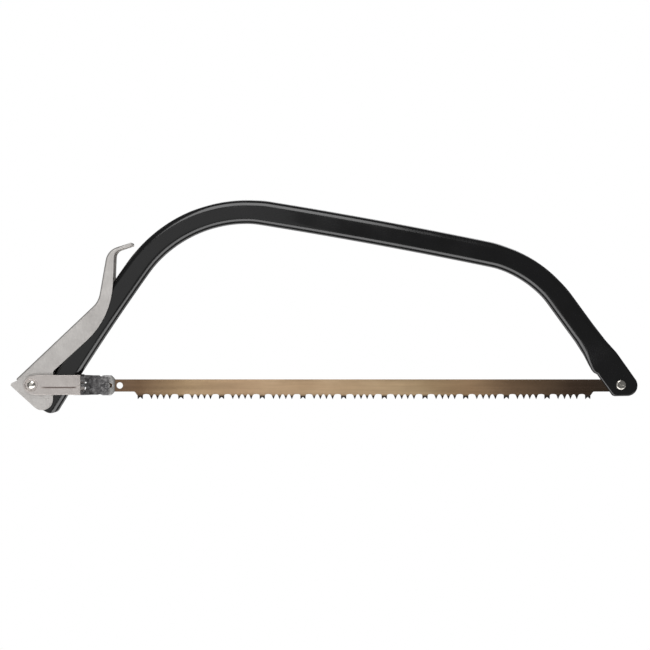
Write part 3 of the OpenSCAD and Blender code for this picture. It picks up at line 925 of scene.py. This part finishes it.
def tooth_rows():
    """The toothed edge from left to right: (x, z, filed x, filed z, side the tooth is set to)."""
    rows = []
    side = 1

    def plain(x, z):
        rows.append((x, z, x, z, 0))

    def single(x):
        nonlocal side
        shoulder, filed_tip = GULLET - 0.35, TOOTH_TIP + FILED * 1.8
        plain(x - SINGLE_HALF - SINGLE_FOOT, GULLET)
        rows.append((x - SINGLE_HALF, shoulder, x - SINGLE_HALF + FILED * 0.4, shoulder, side))
        rows.append((x - 0.12, TOOTH_TIP, x - 0.1, filed_tip, side))
        rows.append((x + 0.12, TOOTH_TIP, x + 0.1, filed_tip, side))
        rows.append((x + SINGLE_HALF, shoulder, x + SINGLE_HALF - FILED * 0.4, shoulder, side))
        plain(x + SINGLE_HALF + SINGLE_FOOT, GULLET)
        side = -side

    def raker(x):
        half = (
            (RAKER_HALF + RAKER_FOOT, GULLET), (RAKER_HALF, GULLET - 0.5),
            (RAKER_HALF - 0.15, TOOTH_TIP + 0.15), (RAKER_HALF - 0.45, TOOTH_TIP + 0.15),
            (0.35, TOOTH_TIP + RAKER_NOTCH),
        )
        for dx, z in half:
            plain(x - dx, z)
        for dx, z in reversed(half):
            plain(x + dx, z)

    for i in range(RAKERS):
        x = FIRST_RAKER + i * TOOTH_PITCH
        raker(x)
        if i == RAKERS - 1:
            break
        centres = [x + s for s in SINGLES]
        edges = [x + RAKER_HALF + RAKER_FOOT]
        for centre in centres:
            edges += [centre - SINGLE_HALF - SINGLE_FOOT, centre + SINGLE_HALF + SINGLE_FOOT]
        edges.append(x + TOOTH_PITCH - RAKER_HALF - RAKER_FOOT)
        for j, centre in enumerate(centres):
            deep = WIDE_HOLLOW if j == 0 else NARROW_HOLLOW
            for p in gullet(edges[2 * j], edges[2 * j + 1], deep):
                plain(*p)
            single(centre)
        for p in gullet(edges[-2], edges[-1], WIDE_HOLLOW):
            plain(*p)
    return rows


def make_blade():
    left, right = BLADE_PIN[0] - BLADE_REACH, SCREW[0] + BLADE_REACH
    last = FIRST_RAKER + (RAKERS - 1) * TOOTH_PITCH
    step_in, step_out = 3.2, 5.6
    start = rounded([
        (left, BLADE_TOP, 2.5), (left, NECK, 2.5), (FIRST_RAKER - step_out, NECK, 2.2),
        (FIRST_RAKER - step_in, GULLET, 0.5), (FIRST_RAKER, GULLET, 0),
    ])[:-1]
    end = rounded([
        (last, GULLET, 0), (last + step_in, GULLET, 0.5), (last + step_out, NECK, 2.2),
        (right, NECK, 2.5), (right, BLADE_TOP, 2.5),
    ])[1:]
    rows = [(x, z, x, z, 0) for x, z in start] + tooth_rows() + [(x, z, x, z, 0) for x, z in end]
    bm = bmesh.new()
    front, back = [], []
    for x, z, filed_x, filed_z, side in rows:
        depth = max(0, (GULLET - z) / (GULLET - TOOTH_TIP))
        shift = side * SET * depth
        front_at = (x, z) if side <= 0 else (filed_x, filed_z)
        back_at = (x, z) if side >= 0 else (filed_x, filed_z)
        front.append(bm.verts.new((front_at[0], shift - BLADE_T / 2, front_at[1])))
        back.append(bm.verts.new((back_at[0], shift + BLADE_T / 2, back_at[1])))
    bridge(bm, front, back)
    bm.faces.new(front)
    bm.faces.new(back)
    bmesh.ops.recalc_face_normals(bm, faces=bm.faces)
    bmesh.ops.triangulate(bm, faces=[f for f in bm.faces if len(f.verts) > 4])
    blade = as_object(bm, "blade")
    pin_hole, screw_hole, through = 1.92, 3.06, (-3, 3)
    holes = (BLADE_PIN, pin_hole), (SCREW, screw_hole), (SPARE_HOLE, SPARE_HOLE_R)
    cut(blade, *[rod(at, radius, *through) for at, radius in holes])
    finish_piece(blade, "toothed_blade", TEMPER, "saw_blade", "blade_temper", "blade", sharp=25)


# How far out the blade pin's head and its ring sit, just off the clip's cheeks, and the ring's thickness
PIN_SEAT, RING_T = CLIP_OUT + 0.3, 0.9


def make_blade_pin():
    """A turned pin: its head in front, its ring groove behind."""
    head, groove, tail = 3.1, 0.5, PIN_SEAT + RING_T
    profile = [
        (0, -PIN_SEAT - 1), (head - 0.4, -PIN_SEAT - 1), (head - 0.12, -PIN_SEAT - 0.85),
        (head, -PIN_SEAT - 0.6), (head, -PIN_SEAT - 0.12), (head - 0.12, -PIN_SEAT),
        (PIN_R, -PIN_SEAT), (PIN_R, PIN_SEAT), (PIN_R - groove, PIN_SEAT), (PIN_R - groove, tail),
        (PIN_R, tail), (PIN_R, tail + 0.45), (PIN_R - 0.12, tail + 0.75), (PIN_R - 0.45, tail + 0.9),
        (0, tail + 0.9),
    ]
    pin = as_object(turned(BLADE_PIN, profile, count=48), "pin")
    finish_piece(pin, "blade_pin_turned", PHOSPHATE, "saw_blade", "clip_phosphate", "blade_pin")


def make_pin_ring():
    """A snap ring in the groove of the blade pin, open below."""
    inner, outer, mouth, steps = 1.42, 3.1, 1.2, 32
    x, z = BLADE_PIN
    opening = math.asin(mouth / outer)
    throat = math.asin(mouth / inner * 0.75)
    points = []
    for i in range(steps + 1):
        t = math.radians(-90) + opening + (2 * math.pi - 2 * opening) * i / steps
        points.append((x + outer * math.cos(t), z + outer * math.sin(t)))
    for i in range(steps + 1):
        t = math.radians(270) - throat - (2 * math.pi - 2 * throat) * i / steps
        points.append((x + inner * math.cos(t), z + inner * math.sin(t)))
    ring = as_object(prism(points, PIN_SEAT, PIN_SEAT + RING_T)[0], "ring")
    bevel(ring, 0.15, angle=50)
    finish_piece(ring, "pin_snap_ring", NICKEL, "saw_blade", "fastener_nickel", "pin_ring")


# ---- Blade screw ----

SCREW_R, SCREW_HEAD_R, SCREW_HEAD_H = 3.0, 5.1, 2.6
WASHER_T, NUT_T, NUT_FLATS = 1.4, 5, 10
SCREW_END = FLAT_SIDE + WASHER_T + NUT_T + 1.2
SLOT_ANGLE = 28
THREAD_PITCH, THREAD_DEPTH = 1.0, 0.45


def make_screw():
    seat = -FLAT_SIDE
    top = seat - SCREW_HEAD_H
    crown, steps, edge = 1.35, 7, 0.15
    profile = [(0, top)]
    for i in range(1, steps + 1):
        out, down = math.radians(40 + 50 * i / steps), math.radians(90 * i / steps)
        profile.append((SCREW_HEAD_R * math.sin(out), top + crown * (1 - math.cos(down))))
    profile += [(SCREW_HEAD_R, seat - edge), (SCREW_HEAD_R - edge, seat), (SCREW_R, seat)]
    profile.append((SCREW_R, FLAT_SIDE))
    y = FLAT_SIDE
    while y + THREAD_PITCH < SCREW_END - 0.4:
        root, crest = y + THREAD_PITCH * 0.5, y + THREAD_PITCH * 0.9
        profile += [(SCREW_R - THREAD_DEPTH, root), (SCREW_R, crest), (SCREW_R, y + THREAD_PITCH)]
        y += THREAD_PITCH
    profile += [(SCREW_R - 0.5, SCREW_END), (0, SCREW_END)]
    screw = as_object(turned(SCREW, profile), "screw")

    along = heading(-SLOT_ANGLE)
    across = left_of(along)
    half, reach, deep = 0.65, 7, 1.3
    slot = [
        tuple(Vector(SCREW) + along * a + across * b)
        for a, b in ((-reach, -half), (reach, -half), (reach, half), (-reach, half))
    ]
    cut(screw, prism(slot, top - 1, top + deep)[0])
    bevel(screw, 0.1, angle=55)
    finish_piece(screw, "slotted_screw", NICKEL, "bow", "fastener_nickel", "blade_screw")


def make_washer():
    """A split spring washer whose ends stand a little apart."""
    inner, outer, seat = 3.1, 5.3, FLAT_SIDE
    count, gap_angle = 72, 9
    corners = (
        (inner, seat + 0.03), (outer - 0.1, seat), (outer, seat + 0.1), (outer, seat + WASHER_T - 0.1),
        (outer - 0.1, seat + WASHER_T), (inner, seat + WASHER_T - 0.03),
    )
    rings = []
    for i in range(count + 1):
        t = math.radians(90 + gap_angle / 2 + (360 - gap_angle) * i / count)
        rings.append([(SCREW[0] + r * math.cos(t), y, SCREW[1] + r * math.sin(t)) for r, y in corners])
    washer = as_object(loft(*rings)[0], "washer")
    finish_piece(washer, "split_washer", NICKEL, "bow", "fastener_nickel", "spring_washer")


def make_nut():
    """A hexagon nut with chamfered corners on both faces and at both ends of its bore."""
    y0, y1 = FLAT_SIDE + WASHER_T, FLAT_SIDE + WASHER_T + NUT_T
    flat = NUT_FLATS / 2
    corner = flat / math.cos(math.radians(30))
    nut = as_object(prism(circle(SCREW, corner, count=6), y0, y1)[0], "nut")
    inset, slope = 0.25, 0.58
    outside = corner + 0.02
    chamfer = (corner - flat + inset) * slope
    profile = [
        (0, y0), (flat - inset, y0), (outside, y0 + chamfer), (outside, y1 - chamfer),
        (flat - inset, y1), (0, y1),
    ]
    combine(nut, turned(SCREW, profile), "INTERSECT")
    wide, narrow, sink = SCREW_R + 0.5, SCREW_R + 0.05, 0.45
    bore = [
        (0, y0 - 1), (wide, y0 - 1), (wide, y0), (narrow, y0 + sink),
        (narrow, y1 - sink), (wide, y1), (wide, y1 + 1), (0, y1 + 1),
    ]
    cut(nut, turned(SCREW, bore))
    bevel(nut, 0.12, angle=40)
    finish_piece(nut, "hexagon_nut", NICKEL, "bow", "fastener_nickel", "blade_nut")


def dress_bushes():
    """The CAD bushes keep their shape and only take a better material."""
    for node in ("pivot_bush", "rivet_sleeve"):
        obj = bpy.data.objects[node]
        for slot in obj.material_slots:
            slot.material = NICKEL


make_bow()
make_lever()
make_lever_pin()
make_link_plate("front_link_plate", "link_front_plate", -1)
make_link_plate("rear_link_plate", "link_rear_plate", 1)
make_link_rivet()
make_clip()
make_blade()
make_blade_pin()
make_pin_ring()
make_screw()
make_washer()
make_nut()
dress_bushes()

# ---- Stage: a pale floor, a white surround, and soft boxes in front of the saw and behind it ----

# The floor in metres: how far below the saw, and its radius
FLOOR_DROP, FLOOR_R = 0.9, 2.2

# In millimetres: what the camera looks at, from the rivet, how wide its view is there and how far back
# it stands
AIM = Vector((299.9, 0, 61.2))
VIEW_WIDTH = 669.5
CAMERA_BACK = 1200
SAW_MIDDLE = RIVET_AT + AIM * MM

# How bright the surround is to everything but the camera, which sees it white
SURROUND = 0.14

# Name, direction from the saw, then distance, width and height in metres, and brightness
SOFT_BOXES = (
    ("box_above", (-0.12, -0.72, 0.69), 1.3, 0.9, 1.0, 3.4),
    ("box_below", (0, -0.68, -0.73), 1.3, 2.6, 0.95, 3.0),
    ("front_left", (-0.45, -1, 0), 1.4, 1.1, 0.8, 0.42),
    ("back_above", (0.12, 0.72, 0.69), 1.6, 1.6, 1.0, 1.8),
    ("back_below", (0, 0.72, -0.69), 1.6, 2.6, 0.8, 1.4),
)


def make_world():
    world = bpy.data.worlds.new("studio")
    bpy.context.scene.world = world
    world.use_nodes = True
    nodes, links = world.node_tree.nodes, world.node_tree.links
    background = nodes["Background"]
    path = nodes.new("ShaderNodeLightPath")
    mix = nodes.new("ShaderNodeMix")
    mix.data_type = "RGBA"
    mix.inputs[MIX_A].default_value = (SURROUND, SURROUND, SURROUND, 1)
    mix.inputs[MIX_B].default_value = (1, 1, 1, 1)
    links.new(path.outputs["Is Camera Ray"], mix.inputs[MIX_FACTOR])
    links.new(mix.outputs[MIX_RESULT], background.inputs["Color"])


def make_floor():
    bm = bmesh.new()
    bmesh.ops.create_circle(bm, cap_ends=True, segments=96, radius=FLOOR_R)
    floor = as_object(bm, "floor")
    floor.location = (0, 0, cad_low.z - FLOOR_DROP)
    material = bpy.data.materials.new("pale_floor")
    material.use_nodes = True
    shader = material.node_tree.nodes["Principled BSDF"]
    shader.inputs["Base Color"].default_value = (0.85, 0.85, 0.85, 1)
    shader.inputs["Roughness"].default_value = 0.9
    shader.inputs["Emission Color"].default_value = (1, 1, 1, 1)
    shader.inputs["Emission Strength"].default_value = 1.0
    floor.data.materials.append(material)
    floor.visible_glossy = False


def soft_box(name, direction, distance, width, height, radiance):
    """An area light whose panel shows a given brightness in reflections."""
    light = bpy.data.lights.new(name, "AREA")
    light.shape = "RECTANGLE"
    light.size, light.size_y = width, height
    light.energy = radiance * math.pi * width * height
    lamp = bpy.data.objects.new(name, light)
    bpy.context.scene.collection.objects.link(lamp)
    away = Vector(direction).normalized()
    lamp.location = SAW_MIDDLE + away * distance
    lamp.rotation_euler = away.to_track_quat("Z", "Y").to_euler()


def make_camera():
    camera = bpy.data.cameras.new("camera")
    camera.sensor_width = 36
    camera.lens = camera.sensor_width * CAMERA_BACK / VIEW_WIDTH
    camera.clip_end = 100
    holder = bpy.data.objects.new("camera", camera)
    bpy.context.scene.collection.objects.link(holder)
    holder.location = RIVET_AT + (AIM + Vector((0, -CAMERA_BACK, 0))) * MM
    holder.rotation_euler = (math.radians(90), 0, 0)
    bpy.context.scene.camera = holder


make_world()
make_floor()
for box in SOFT_BOXES:
    soft_box(*box)
make_camera()
bpy.context.scene.view_settings.view_transform = "Standard"
